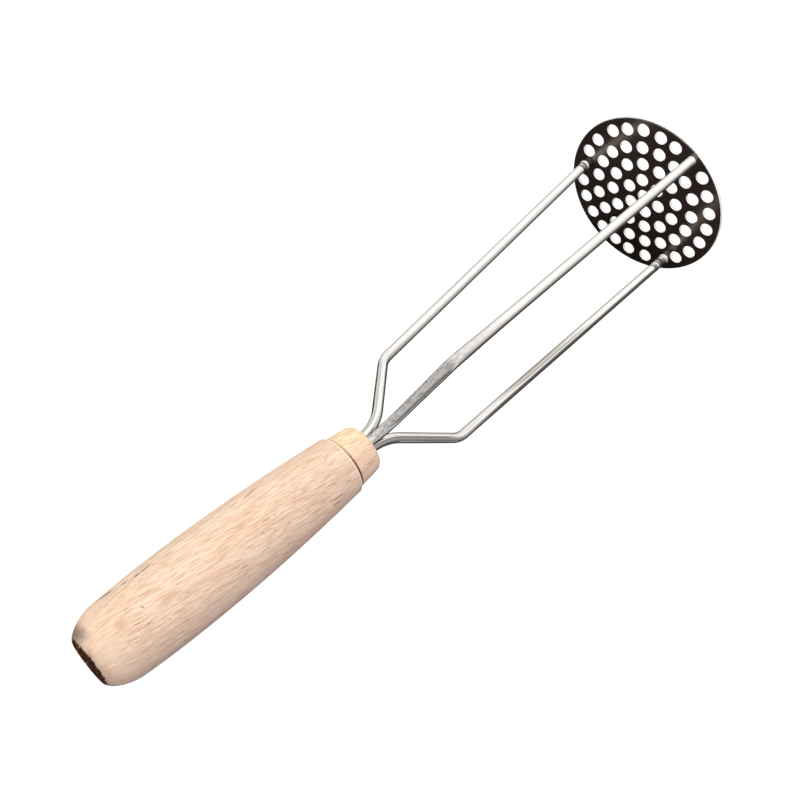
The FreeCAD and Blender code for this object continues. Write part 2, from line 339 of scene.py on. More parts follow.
def mesh_piece(name, vertices, faces, material):
    """A smooth-shaded mesh object of one material."""
    mesh = bpy.data.meshes.new(name)
    mesh.from_pydata(vertices, [], faces)
    mesh.polygons.foreach_set("use_smooth", [True] * len(mesh.polygons))
    mesh.update()
    piece = bpy.data.objects.new(name, mesh)
    bpy.context.scene.collection.objects.link(piece)
    mesh.materials.append(material)
    return piece


def tube_faces(first, ring_count, sides):
    """Four-sided faces between rings of vertices that are numbered on from the first one."""
    faces = []
    for ring in range(ring_count - 1):
        ring_start = first + ring * sides
        for side in range(sides):
            here = ring_start + side
            beside = ring_start + (side + 1) % sides
            faces.append((here, beside, beside + sides, here + sides))
    return faces


def vector_attribute(mesh, name, values):
    """Stores one vector per vertex for the materials to read."""
    attribute = mesh.attributes.new(name, "FLOAT_VECTOR", "POINT")
    attribute.data.foreach_set("vector", [number for value in values for number in value])


# ---- Node helpers -------------------------------------------------------------------------


class Graph:
    """Short way to write a material's node tree."""

    def __init__(self, name):
        self.material = bpy.data.materials.new(name)
        self.material.use_nodes = True
        self.tree = self.material.node_tree
        self.tree.nodes.clear()
        self.shader = self.tree.nodes.new("ShaderNodeBsdfPrincipled")
        output = self.tree.nodes.new("ShaderNodeOutputMaterial")
        self.tree.links.new(self.shader.outputs["BSDF"], output.inputs["Surface"])

    @classmethod
    def of_world(cls, world):
        """Writes to a world's node tree, which keeps its own background and output."""
        graph = cls.__new__(cls)
        graph.tree = world.node_tree
        return graph

    def set(self, node, socket, value):
        """Links value to the socket if it is a socket, or else sets it."""
        target = node.inputs[socket]
        if isinstance(value, bpy.types.NodeSocket):
            self.tree.links.new(value, target)
        else:
            target.default_value = value

    def surface(self, **values):
        """Sets sockets of the surface shader; underscores in names stand for spaces."""
        for name, value in values.items():
            self.set(self.shader, name.replace("_", " "), value)

    def attribute(self, name):
        node = self.tree.nodes.new("ShaderNodeAttribute")
        node.attribute_type = "GEOMETRY"
        node.attribute_name = name
        return node.outputs["Vector"]

    def object_position(self):
        return self.tree.nodes.new("ShaderNodeTexCoord").outputs["Object"]

    def mapped(self, vector, scale=(1, 1, 1), rotation=(0, 0, 0)):
        node = self.tree.nodes.new("ShaderNodeMapping")
        self.set(node, "Vector", vector)
        self.set(node, "Scale", scale)
        self.set(node, "Rotation", rotation)
        return node.outputs["Vector"]

    def turned(self, vector, angle):
        """The vector turned about Z."""
        node = self.tree.nodes.new("ShaderNodeVectorRotate")
        node.rotation_type = "Z_AXIS"
        self.set(node, "Vector", vector)
        self.set(node, "Angle", angle)
        return node.outputs["Vector"]

    def noise(self, vector, scale=1.0, detail=2.0, roughness=0.5):
        node = self.tree.nodes.new("ShaderNodeTexNoise")
        self.set(node, "Vector", vector)
        self.set(node, "Scale", scale)
        self.set(node, "Detail", detail)
        self.set(node, "Roughness", roughness)
        return node.outputs["Fac"]

    def streaks(self, vector, across, along, detail=2.0, roughness=0.5):
        """Noise drawn out along Z. across and along are features per metre."""
        stretched = self.mapped(vector, scale=(across, across, along))
        return self.noise(stretched, detail=detail, roughness=roughness)

    def voronoi(self, vector, scale=1.0):
        node = self.tree.nodes.new("ShaderNodeTexVoronoi")
        self.set(node, "Vector", vector)
        self.set(node, "Scale", scale)
        return node.outputs["Distance"]

    def multiply(self, first, second):
        return self.math("MULTIPLY", first, second)

    def math(self, operation, first, second=0.0, third=0.0):
        node = self.tree.nodes.new("ShaderNodeMath")
        node.operation = operation
        for index, value in enumerate((first, second, third)):
            self.set(node, index, value)
        return node.outputs[0]

    def separate(self, vector):
        node = self.tree.nodes.new("ShaderNodeSeparateXYZ")
        self.set(node, 0, vector)
        return node.outputs[0], node.outputs[1], node.outputs[2]

    def combine(self, x, y, z):
        node = self.tree.nodes.new("ShaderNodeCombineXYZ")
        for index, value in enumerate((x, y, z)):
            self.set(node, index, value)
        return node.outputs[0]

    def length(self, vector):
        node = self.tree.nodes.new("ShaderNodeVectorMath")
        node.operation = "LENGTH"
        self.set(node, 0, vector)
        return node.outputs["Value"]

    def step(self, value, low, high, to_low=0.0, to_high=1.0):
        """Smooth change from to_low to to_high as value goes from low to high."""
        node = self.tree.nodes.new("ShaderNodeMapRange")
        node.interpolation_type = "SMOOTHSTEP"
        for index, number in enumerate((value, low, high, to_low, to_high)):
            self.set(node, index, number)
        return node.outputs[0]

    def mix(self, factor, first, second, blend="MIX"):
        node = self.tree.nodes.new("ShaderNodeMix")
        node.data_type = "RGBA"
        node.blend_type = blend
        self.set(node, 0, factor)
        self.set(node, 6, first)
        self.set(node, 7, second)
        return node.outputs[2]

    def bump(self, height, distance, strength=1.0, normal=None):
        node = self.tree.nodes.new("ShaderNodeBump")
        self.set(node, "Height", height)
        self.set(node, "Distance", distance)
        self.set(node, "Strength", strength)
        if normal is not None:
            self.set(node, "Normal", normal)
        return node.outputs["Normal"]


# ---- Materials ----------------------------------------------------------------------------


def wood_material():
    """Pale beech, sanded but not varnished: growth rings, fibres, flecks, a burnt line round
    the shoulder darkened with painted shade, a painted highlight on its arris, painted light
    and shade on the nose, painted shade in the splits, and a stained butt."""
    graph = Graph("turned_beech")
    place = graph.object_position()
    x, y, height = graph.separate(place)
    radius = graph.length(graph.combine(x, y, 0.0))
    fibre_turn = FIBRE_DIRECTION.rotation_difference(Vector((0.0, 0.0, 1.0))).to_euler()
    fibres = graph.mapped(place, rotation=tuple(fibre_turn))
    skin = along_skin(graph, x, y, height, radius)

    medium = graph.streaks(skin, across=800, along=26)
    fine = graph.streaks(skin, across=2500, along=210, roughness=0.6)

    color = broad_grain(graph, fibres)
    color = fine_grain(graph, color, skin, medium, fine, height)
    # Painted light and shade on the nose.
    color = nose_light_and_shade(graph, color, x, height)
    color = graph.mix(flecks(graph, fibres), color, FLECK_WOOD)
    # Marks on the grip; the dark ones are painted shade inside splits and pores.
    for mark in WOOD_MARKS:
        mask = graph.multiply(wood_mark(graph, place, mark), mark["strength"])
        color = graph.mix(mask, color, mark["color"])
    # Burnt line in the groove, darkened with painted shade, and a painted highlight on its
    # arris.
    color = burnt_line_and_shade(graph, color, x, height)
    color, stain = stained_butt(graph, color, place, x, height, radius)
    color = nose_end_dirt(graph, color, place, height, radius)

    coarse = graph.bump(medium, distance=0.12 * MM, strength=0.6)
    normal = graph.bump(fine, distance=0.06 * MM, strength=0.9, normal=coarse)
    roughness = graph.step(stain, 0.0, 1.0, 0.62, 0.50)
    shine = graph.step(stain, 0.0, 1.0, 0.3, 0.04)
    graph.surface(Base_Color=color, Roughness=roughness, Normal=normal, Specular_IOR_Level=shine)
    return graph.material


def along_skin(graph, x, y, height, radius):
    """Coordinates on the grip's skin in which the fibres run straight up, so that they are
    drawn out long all the way round. The fibres climb round the grip as a steep helix."""
    away_from_axis = graph.math("MAXIMUM", radius, 0.1 * MM)
    scale = graph.math("DIVIDE", BELLY_RADIUS, away_from_axis)
    even = graph.combine(graph.multiply(x, scale), graph.multiply(y, scale), height)
    return graph.turned(even, graph.multiply(height, -FIBRE_SLANT / BELLY_RADIUS))


def broad_grain(graph, fibres):
    """Pale wood with wide peach patches and darker growth rings."""
    broad = graph.streaks(fibres, across=130, along=11)
    color = graph.mix(graph.step(broad, 0.36, 0.68, 0.0, 0.62), PALE_WOOD, PEACH_WOOD)
    return graph.mix(growth_rings(graph, fibres), color, RING_WOOD)


def fine_grain(graph, color, skin, medium, fine, height):
    """Adds redder and creamier streaks, long lines, and the short dashes of the fibres. The
    dashes are weaker on the rounded butt."""
    color = graph.mix(graph.step(medium, 0.50, 0.70, 0.0, 0.12), color, RING_WOOD)
    color = graph.mix(graph.step(medium, 0.32, 0.48, 0.22, 0.0), color, CREAM_WOOD)
    lines = graph.streaks(skin, across=1700, along=44, roughness=0.6)
    color = graph.mix(graph.step(lines, 0.56, 0.63, 0.0, 0.28), color, RING_WOOD)
    calmer = graph.step(height, BUTT_ROUND_START - 6 * MM, BUTT_ROUND_START + 6 * MM, 1.0, 0.55)
    dashes = graph.multiply(graph.step(fine, 0.54, 0.62, 0.0, 0.72), calmer)
    gaps = graph.multiply(graph.step(fine, 0.38, 0.46, 0.78, 0.0), calmer)
    color = graph.mix(dashes, color, FIBRE_WOOD)
    return graph.mix(gaps, color, CREAM_WOOD)


def nose_light_and_shade(graph, color, x, height):
    """Paints light and shade on the nose: a yellower tint on its lit +X side and a pinker
    one on its shaded -X side.
    """
    above_nose = graph.step(height, SHOULDER_START - 0.5 * MM, SHOULDER_START + 0.5 * MM)
    tint = graph.mix(graph.step(x, -2 * MM, 7 * MM), SHADED_SIDE_TINT, LIT_SIDE_TINT)
    tinted = graph.mix(1.0, color, tint, "MULTIPLY")
    return graph.mix(above_nose, tinted, color)


def growth_rings(graph, fibres):
    """How much late wood shows: thin bands about a pith that lies well outside the grip."""
    wobble = graph.streaks(fibres, across=90, along=22)
    x, y = graph.separate(fibres)[:2]
    from_pith = graph.length(graph.combine(
        graph.math("ADD", x, PITH_OFFSET[0]), graph.math("ADD", y, PITH_OFFSET[1]), 0.0
    ))
    distance = graph.math("MULTIPLY_ADD", wobble, RING_WOBBLE, from_pith)
    phase = graph.math("FRACT", graph.math("DIVIDE", distance, RING_WIDTH))
    late = graph.step(phase, 0.35, 0.97)
    patchy = graph.streaks(fibres, across=160, along=40, detail=3)
    return graph.multiply(late, graph.step(patchy, 0.38, 0.66, 0.02, 0.42))


def flecks(graph, fibres):
    """Short brown dashes that lie along the fibres."""
    cells = graph.voronoi(graph.mapped(fibres, scale=(900, 900, 120)))
    rare = graph.streaks(fibres, across=210, along=60, detail=1)
    dash = graph.step(cells, 0.10, 0.24, 0.62, 0.0)
    return graph.multiply(dash, graph.step(rare, 0.52, 0.66))


def wood_mark(graph, place, mark):
    """Mask of one mark on the grip's surface: 1 along its middle and 0 outside it."""
    azimuth = math.radians(mark["azimuth"])
    outward = Vector((math.cos(azimuth), math.sin(azimuth), 0.0))
    tangent = Vector((-math.sin(azimuth), math.cos(azimuth), 0.0))
    slant = math.radians(mark["slant"])
    along = tangent * math.sin(slant) + Vector((0.0, 0.0, math.cos(slant)))
    across = along.cross(outward)
    turn = Matrix((across, outward, along)).transposed().to_euler()
    centre = outward * grip_radius_at(mark["height"]) + Vector((0.0, 0.0, mark["height"]))
    mark_depth = 2.0 * MM
    raggedness = 0.9
    core, rim = 0.75, 1.45
    ragged = graph.noise(place, scale=2500)
    node = graph.tree.nodes.new("ShaderNodeMapping")
    node.vector_type = "TEXTURE"
    graph.set(node, "Vector", place)
    graph.set(node, "Location", tuple(centre))
    graph.set(node, "Rotation", tuple(turn))
    graph.set(node, "Scale", (mark["width"] / 2.0, mark_depth, mark["length"] / 2.0))
    away = graph.length(node.outputs["Vector"])
    away = graph.math("MULTIPLY_ADD", ragged, raggedness, away)
    return graph.step(away, core, rim, 1.0, 0.0)


def burnt_line_and_shade(graph, color, x, height):
    """Dark line scorched into the groove below the shoulder, darkened further with painted shade
    that is strongest on the shaded -X side and fainter on the lit +X side, and a painted
    highlight on the arris above it."""
    groove_end = SHOULDER_START + BURNT_GROOVE_WIDTH
    below = graph.step(height, SHOULDER_START - BURNT_LINE_REACH, SHOULDER_START - 0.5 * MM)
    above = graph.step(height, groove_end, groove_end + 0.1 * MM, 1.0, 0.0)
    # Painted shade: the line is darkest on the shaded -X side.
    toward_shade = graph.step(x, -7.0 * MM, 9.0 * MM, 1.0, 0.25)
    line = graph.multiply(graph.multiply(below, above), toward_shade)
    # Painted highlight along the arris above the groove.
    arris_height = groove_end + SHOULDER_BEVEL + 0.1 * MM
    from_arris = graph.math("ABSOLUTE", graph.math("SUBTRACT", height, arris_height))
    arris_highlight = graph.step(from_arris, 0.15 * MM, ARRIS_HIGHLIGHT_REACH, 0.7, 0.0)
    color = graph.mix(arris_highlight, color, ARRIS_HIGHLIGHT)
    return graph.mix(line, color, BURNT_AND_SHADED_WOOD)


def stained_butt(graph, color, place, x, height, radius):
    """Dark end grain on the butt with a ragged edge, and darkened wood round it. Also returns
    the mask of the end grain."""
    ragged = graph.noise(place, scale=520, detail=4, roughness=0.7)
    edge = graph.math("MULTIPLY_ADD", ragged, -STAIN_RAGGEDNESS, radius)
    is_end = graph.step(height, BUTT_END - STAIN_REACH, BUTT_END - 1.9 * MM)
    is_inside = graph.step(edge, 7.1 * MM, STAIN_RADIUS, 1.0, 0.0)
    stain = graph.multiply(is_inside, is_end)
    color = graph.mix(butt_halo(graph, ragged, edge, x, height), color, HALO_WOOD)
    return graph.mix(stain, color, end_grain(graph, place)), stain


def butt_halo(graph, ragged, edge, x, height):
    """Mask of the darkened wood round the stain, which is darkest in the corner of the butt on
    the +X side."""
    near_stain = graph.step(edge, 7.2 * MM, HALO_RADIUS, 0.45, 0.0)
    near_end = graph.step(height, BUTT_END - HALO_REACH, BUTT_END - 2 * MM)
    halo = graph.multiply(near_stain, near_end)
    corner = graph.math("MULTIPLY_ADD", ragged, 3 * MM, height)
    corner = graph.step(corner, BUTT_END - 3.8 * MM, BUTT_END - 0.6 * MM, 0.0, 0.95)
    corner = graph.multiply(corner, graph.step(x, 4 * MM, 9 * MM))
    return graph.math("MAXIMUM", halo, corner)


def end_grain(graph, place):
    """Dark red-brown end grain with pale chips."""
    mottle = graph.noise(place, scale=900, detail=4, roughness=0.75)
    dark = graph.mix(graph.step(mottle, 0.35, 0.7), STAIN_DARK, STAIN_RED)
    chips = graph.step(graph.voronoi(place, scale=700), 0.16, 0.26, 0.60, 0.0)
    return graph.mix(chips, dark, PEACH_WOOD)


def nose_end_dirt(graph, color, place, height, radius):
    """Small dark specks and chips round the mouth of the bore and the rim of the nose."""
    speckle = graph.noise(place, scale=1500, detail=3, roughness=0.7)
    low = graph.step(height, NOSE_START + 1.6 * MM, NOSE_START + 4.2 * MM, 1.0, 0.0)
    specks = graph.multiply(graph.step(speckle, 0.57, 0.66), low)
    mouth = graph.step(radius, BORE_RADIUS + 0.1 * MM, BORE_RADIUS + 0.5 * MM, 0.5, 0.0)
    near_mouth = graph.multiply(mouth, low)
    color = graph.mix(graph.multiply(specks, 0.85), color, FIBRE_WOOD)
    return graph.mix(near_mouth, color, FLECK_WOOD)


def rod_steel_material(name, leg, wear, reflection_stripes):
    """Drawn steel wire: fine lengthwise draw marks, wear and scuffs where it was bent and
    handled, painted reflections of the plate as bands at the foot, painted shade in the
    grooves, and painted reflections and shade as stripes along its sides."""
    graph = Graph(name)
    place = graph.attribute("rod_place")
    x, y, distance = graph.separate(place)
    drawn = graph.streaks(place, across=2400, along=26, detail=3, roughness=0.6)
    cloudy = graph.streaks(place, across=260, along=60, detail=3, roughness=0.6)
    pits = graph.streaks(place, across=1900, along=420, detail=4, roughness=0.7)
    color = graph.mix(graph.step(drawn, 0.45, 0.70), BRIGHT_STEEL, DRAWN_STEEL)
    # Painted reflections and shade as stripes along the rod's sides.
    color = paint_reflection_stripes(graph, color, x, y, distance, reflection_stripes)
    handled = graph.step(distance, WORN_START, WORN_FULLY)
    dulled = graph.multiply(handled, graph.step(cloudy, 0.25, 0.6, 0.55, 1.0))
    worn = graph.multiply(graph.step(pits, 0.40, 0.62, 0.45, 1.0), dulled)
    color = graph.mix(graph.multiply(worn, wear), color, WORN_AND_SHADED_STEEL)
    scuffed = graph.step(distance, SCUFFED_START, SCUFFED_FULLY)
    scuffs = graph.multiply(graph.step(pits, 0.51, 0.60, 0.0, wear), scuffed)
    color = graph.mix(scuffs, color, SCUFFED_AND_SHADED_STEEL)
    color = foot_plate_reflections(graph, color, place, x, distance, leg)
    roughness = graph.step(cloudy, 0.3, 0.7, 0.12, 0.22)
    roughness = graph.math("MULTIPLY_ADD", worn, 0.22 * wear, roughness)
    normal = graph.bump(drawn, distance=0.02 * MM, strength=0.6)
    normal = graph.bump(pits, distance=0.03 * MM, strength=0.6 * wear, normal=normal)
    graph.surface(
        Base_Color=color, Metallic=1.0, Roughness=roughness, Specular_Tint=color, Normal=normal
    )
    return graph.material


def paint_reflection_stripes(graph, color, x, y, distance, reflection_stripes):
    """Paints reflections and shade as stripes along a rod, with wavering edges."""
    azimuth = graph.math("ARCTAN2", y, x)
    ripple = graph.noise(graph.combine(0.0, 0.0, distance), scale=70, detail=2)
    waver = math.radians(6.0)
    edge = math.radians(3.0)
    azimuth = graph.math("MULTIPLY_ADD", ripple, waver, azimuth)
    for one in reflection_stripes:
        after_first = graph.step(azimuth, one["first"] - edge, one["first"] + edge)
        before_last = graph.step(azimuth, one["last"] - edge, one["last"] + edge, 1.0, 0.0)
        grown = graph.step(distance, *one["grows"])
        not_faded = graph.step(distance, *one["fades"], 1.0, 0.0)
        present = graph.multiply(grown, not_faded)
        rise = one["most"] - one["least"]
        strength = graph.math("MULTIPLY_ADD", present, rise, one["least"])
        mask = graph.multiply(after_first, before_last)
        color = graph.mix(graph.multiply(mask, strength), color, one["color"])
    return color


def foot_plate_reflections(graph, color, place, x, distance, leg):
    """Painted reflections of the dark plate as purple-grey bands round the foot, with uneven
    edges and a dark line along the upper one, and painted shade in the grooves. The bands are
    fainter on the rod's +X side."""
    uneven = graph.noise(place, scale=420, detail=3, roughness=0.6)
    uneven = graph.math("SUBTRACT", uneven, 0.5)
    fainter = graph.step(x, 0.4 * MM, 1.3 * MM, 1.0, 0.3)
    unevenness = 2.2 * MM
    edge = 0.2 * MM
    above_plate = graph.math("SUBTRACT", distance, PLATE_TOP)
    above_plate = graph.math("MULTIPLY_ADD", uneven, unevenness, above_plate)
    # Painted reflections of the dark plate: bands round the foot, edged with a dark line.
    for low, high in leg["plate_reflection_bands"]:
        after_low = graph.step(above_plate, low - edge, low + edge)
        before_high = graph.step(above_plate, high - edge, high + edge, 0.92, 0.0)
        band = graph.multiply(after_low, before_high)
        color = graph.mix(graph.multiply(band, fainter), color, PLATE_REFLECTION_PURPLE)
        from_edge = graph.math("ABSOLUTE", graph.math("SUBTRACT", above_plate, high))
        color = graph.mix(graph.step(from_edge, 0.2 * MM, 0.5 * MM, 0.95, 0.0), color, DARK_REFLECTION_AND_SHADE)
    # Painted shade in the grooves.
    for groove in leg["grooves"]:
        away = graph.math("ABSOLUTE", graph.math("SUBTRACT", distance, PLATE_TOP + groove))
        groove_shade = graph.step(away, 0.3 * MM, 0.6 * MM, 0.9, 0.0)
        color = graph.mix(groove_shade, color, DARK_REFLECTION_AND_SHADE)
    return color


def plate_steel_material():
    """Dark rolled sheet, brighter where the edge and the holes were cut through it. The cut
    walls are painted near white and left mostly matt, so that they show no darker reflections:
    partly the bright cut steel and partly painted light. A thin line of painted shade runs
    along their foot, where the plate stands on the floor."""
    graph = Graph("rolled_steel_plate")
    place = graph.object_position()
    height = graph.separate(place)[2]
    cloudy = graph.noise(place, scale=70, detail=3)
    rolled = graph.noise(graph.mapped(place, scale=(2400, 260, 260)), detail=3, roughness=0.6)
    speckle = graph.noise(place, scale=1300, detail=3, roughness=0.6)
    top = graph.mix(graph.step(cloudy, 0.32, 0.68), PLATE_BROWN, PLATE_GREY)
    top = graph.mix(graph.step(speckle, 0.5, 0.75, 0.0, 0.35), top, PLATE_PURPLE)
    geometry = graph.tree.nodes.new("ShaderNodeNewGeometry")
    up = graph.separate(geometry.outputs["True Normal"])[2]
    is_wall = graph.step(graph.math("ABSOLUTE", up), 0.45, 0.8, 1.0, 0.0)
    # Painted shade along the walls' foot; the rest of each wall is painted near white.
    wall = graph.mix(graph.step(height, 0.10 * MM, 0.22 * MM), CONTACT_SHADE_STEEL, CUT_STEEL_PAINTED_LIGHT)
    color = graph.mix(is_wall, top, wall)
    roughness = graph.step(rolled, 0.3, 0.7, 0.14, 0.22)
    normal = graph.bump(speckle, distance=0.01 * MM, strength=0.4)
    normal = graph.bump(rolled, distance=0.01 * MM, strength=0.5, normal=normal)
    # The walls are left mostly matt so that they keep their painted brightness.
    shine_left_out = 0.85
    metallic = graph.math("MULTIPLY_ADD", is_wall, -shine_left_out, 1.0)
    graph.surface(Base_Color=color, Metallic=metallic, Roughness=roughness, Normal=normal)
    return graph.material


def hidden_material(name, color, roughness, metallic):
    """Material of a piece that sits inside the grip: mottled, with a slight bump."""
    graph = Graph(name)
    mottle = graph.noise(graph.object_position(), scale=900, detail=3)
    darker = tuple(0.6 * channel for channel in color[:3]) + (1,)
    normal = graph.bump(mottle, distance=0.1 * MM)
    graph.surface(Base_Color=graph.mix(mottle, color, darker), Metallic=metallic, Normal=normal)
    graph.surface(Roughness=roughness)
    return graph.material


# ---- Legs ---------------------------------------------------------------------------------


def leg_route(leg):
    """Close-set points along one leg's centre line, from the underside to the tang's end, the
    number of the point in the middle of its lower bend, and the normal of that bend's plane."""
    foot_radius, foot_azimuth = leg["foot"]
    foot = polar(foot_radius, foot_azimuth, PLATE_TOP)
    bend = polar(*leg["bend"])
    entry = polar(TANG_RING_RADIUS, leg["tang_azimuth"], GRIP_ROOT.z)
    tang_end = entry + GRIP_AXIS * TANG_LENGTH
    route = [Vector((foot.x, foot.y, PLATE_LOW.z)), foot]
    middles = []
    normals = []
    start = foot
    bends = ((bend, entry, LOWER_BEND_RADIUS), (entry, tang_end, UPPER_BEND_RADIUS))
    for corner, after, radius in bends:
        arriving = (corner - start).normalized()
        leaving = (after - corner).normalized()
        turn = arriving.angle(leaving)
        setback = radius * math.tan(turn / 2.0)
        arc_start = corner - arriving * setback
        route += straight_run(start, arc_start)
        inward = (leaving - arriving).normalized()
        centre = corner + inward * (radius / math.cos(turn / 2.0))
        spoke = arc_start - centre
        normal = arriving.cross(leaving).normalized()
        steps = max(LEAST_BEND_STEPS, round(turn / BEND_STEP))
        middles.append(len(route) + steps // 2)
        normals.append(normal)
        for step in range(1, steps + 1):
            route.append(centre + Quaternion(normal, turn * step / steps) @ spoke)
        start = route[-1]
    route += straight_run(start, tang_end)
    return route, middles[0], normals[0]


def straight_run(start, end, spacing=0.35 * MM):
    """Points from start to end at about the spacing, leaving out the start itself."""
    count = max(1, round((end - start).length / spacing))
    return [start.lerp(end, step / count) for step in range(1, count + 1)]


def rod_radius_at(height, leg):
    """Radius of a leg at a height above the plate's underside, measured along the leg."""
    above_plate = height - PLATE_TOP
    if height <= RIVET_HEAD_HEIGHT:
        part = height / RIVET_HEAD_HEIGHT
        return RIVET_HEAD_RADIUS + part * (SPIGOT_RADIUS - RIVET_HEAD_RADIUS)
    if above_plate < 0.0:
        return SPIGOT_RADIUS
    radius = ROD_RADIUS
    if leg["has_collar"] and above_plate < COLLAR_HEIGHT:
        crown = 1.0 - (above_plate / COLLAR_HEIGHT) ** 3
        radius = ROD_RADIUS + (COLLAR_RADIUS - ROD_RADIUS) * crown
    for groove in leg["grooves"]:
        away = abs(above_plate - groove) / GROOVE_HALF_WIDTH
        if away < 1.0:
            radius -= GROOVE_DEPTH * math.cos(away * math.pi / 2.0) ** 2
    return radius


def rod_shape(leg):
    """Vertices of one bent rod, ring by ring, the same vertices with the rod straightened, and
    the number of rings. The rod is wider in its lower bend, across the bend's plane."""
    route, bend_index, bend_normal = leg_route(leg)
    bend_point = route[bend_index]
    rings = foot_rings(route)
    vertices = []
    straightened = []
    across = Vector((1.0, 0.0, 0.0))
    for index, (point, distance) in enumerate(rings):
        before = rings[max(index - 1, 0)][0]
        after = rings[min(index + 1, len(rings) - 1)][0]
        along = (after - before).normalized()
        across = (across - along * across.dot(along)).normalized()
        sideways = along.cross(across)
        radius = rod_radius_at(distance, leg)
        away = (point - bend_point).length / BEND_SPREAD_REACH
        spread = leg["bend_spread"] * math.exp(-away * away)
        for side in range(ROD_SIDES):
            angle = 2.0 * math.pi * side / ROD_SIDES
            offset = (across * math.cos(angle) + sideways * math.sin(angle)) * radius
            flattened = offset * (1.0 - BEND_FLATTENING * spread)
            wide = bend_normal * offset.dot(bend_normal)
            vertices.append(point + flattened + wide * (1.0 + BEND_FLATTENING) * spread)
            straightened.append((radius * math.cos(angle), radius * math.sin(angle), distance))
    return vertices, straightened, len(rings)


def build_leg(name, material_name, wear, reflection_stripes):
    """One bent rod as a closed tube, with its riveted foot. The straightened vertices are
    stored on the mesh so that the draw marks follow the bends."""
    leg = LEGS[name]
    material = rod_steel_material(material_name, leg, wear, reflection_stripes)
    vertices, straightened, ring_count = rod_shape(leg)
    faces = tube_faces(0, ring_count, ROD_SIDES)
    top_ring = (ring_count - 1) * ROD_SIDES
    faces.append(tuple(reversed(range(ROD_SIDES))))
    faces.append(tuple(range(top_ring, top_ring + ROD_SIDES)))
    piece = mesh_piece(name + "_rod", vertices, faces, material)
    vector_attribute(piece.data, "rod_place", straightened)
    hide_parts(name)
    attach(piece, "root")


def foot_rings(route):
    """Route points with their distance along the leg, and more of them through the plate and
    up the foot."""
    below, foot = route[0], route[1]
    upward = (route[2] - foot).normalized()
    rings = []
    inside_plate = (0.0, 0.35 * MM, 0.69 * MM, 0.75 * MM, 1.1 * MM, PLATE_TOP - 0.01 * MM)
    for height in inside_plate:
        rings.append((below + Vector((0.0, 0.0, height)), height))
    for step in range(round(FOOT_HEIGHT / FOOT_RING_SPACING)):
        rise = step * FOOT_RING_SPACING
        rings.append((foot + upward * rise, PLATE_TOP + rise))
    distance = PLATE_TOP
    previous = foot
    for point in route[2:]:
        distance += (point - previous).length
        previous = point
        if distance > PLATE_TOP + FOOT_HEIGHT:
            rings.append((point, distance))
    return rings


# ---- Grip ---------------------------------------------------------------------------------


def grip_profile():
    """(radius, height) points of the turned outline, from the drill point of the bore, down
    the bore and round the outside to the middle of the butt."""
    bore_tip = (0.0, BORE_END + DRILL_POINT_LENGTH)
    bore_top = (BORE_RADIUS, BORE_END)
    mouth = (BORE_RADIUS, NOSE_START)
    nose_edge = (NOSE_FLAT_RADIUS, NOSE_START)
    nose_end = (NOSE_ROUND_RADIUS, NOSE_ROUND_END)
    nose_top = (NOSE_TOP_RADIUS, SHOULDER_START)
    groove_floor = (NOSE_TOP_RADIUS - BURNT_GROOVE_DEPTH, SHOULDER_START + BURNT_GROOVE_WIDTH)
    bevel_start = (SHOULDER_RADIUS - SHOULDER_BEVEL, groove_floor[1])
    bevel_end = (SHOULDER_RADIUS, groove_floor[1] + SHOULDER_BEVEL)
    belly = (BELLY_RADIUS, BELLY_POSITION)
    butt_start = (BUTT_ROUND_RADIUS, BUTT_ROUND_START)
    butt_edge = (BUTT_FLAT_RADIUS, BUTT_END)
    recess_edge = (BUTT_RECESS_RADIUS, BUTT_END)
    recess_floor = (BUTT_RECESS_RADIUS - BUTT_RECESS_DEPTH, BUTT_END - BUTT_RECESS_DEPTH)
    axis_top = (0.0, BUTT_END - BUTT_RECESS_DEPTH)
    lower_run = BELLY_POSITION - bevel_end[1]
    upper_run = BUTT_ROUND_START - BELLY_POSITION
    flare = (SHOULDER_FLARE * lower_run, lower_run)
    taper = (BUTT_TAPER * upper_run, upper_run)
    profile = [bore_tip]
    profile += straight(bore_tip, bore_top, count=4)
    profile += straight(bore_top, mouth, count=16)
    profile += straight(mouth, nose_edge, count=3)
    profile += hermite(nose_edge, NOSE_ROUNDING[0], nose_end, NOSE_ROUNDING[1], count=24)
    profile += straight(nose_end, nose_top, count=36)
    profile += straight(nose_top, groove_floor, count=4)
    profile += straight(groove_floor, bevel_start, count=6)
    profile += straight(bevel_start, bevel_end, count=4)
    profile += hermite(bevel_end, flare, belly, (0.0, lower_run), count=130)
    profile += hermite(belly, (0.0, upper_run), butt_start, taper, count=70)
    profile += hermite(butt_start, BUTT_ROUNDING[0], butt_edge, BUTT_ROUNDING[1], count=48)
    profile += straight(butt_edge, recess_edge, count=3)
    profile += straight(recess_edge, recess_floor, count=4)
    profile += straight(recess_floor, axis_top, count=24)
    return profile


def grip_radius_at(height):
    """Outer radius of the grip at a height along its axis."""
    outline = grip_profile()
    for (inner, low), (outer, high) in zip(outline, outline[1:]):
        is_outside = min(inner, outer) > BORE_RADIUS
        if is_outside and low <= height < high:
            return inner + (outer - inner) * (height - low) / (high - low)
    return BELLY_RADIUS


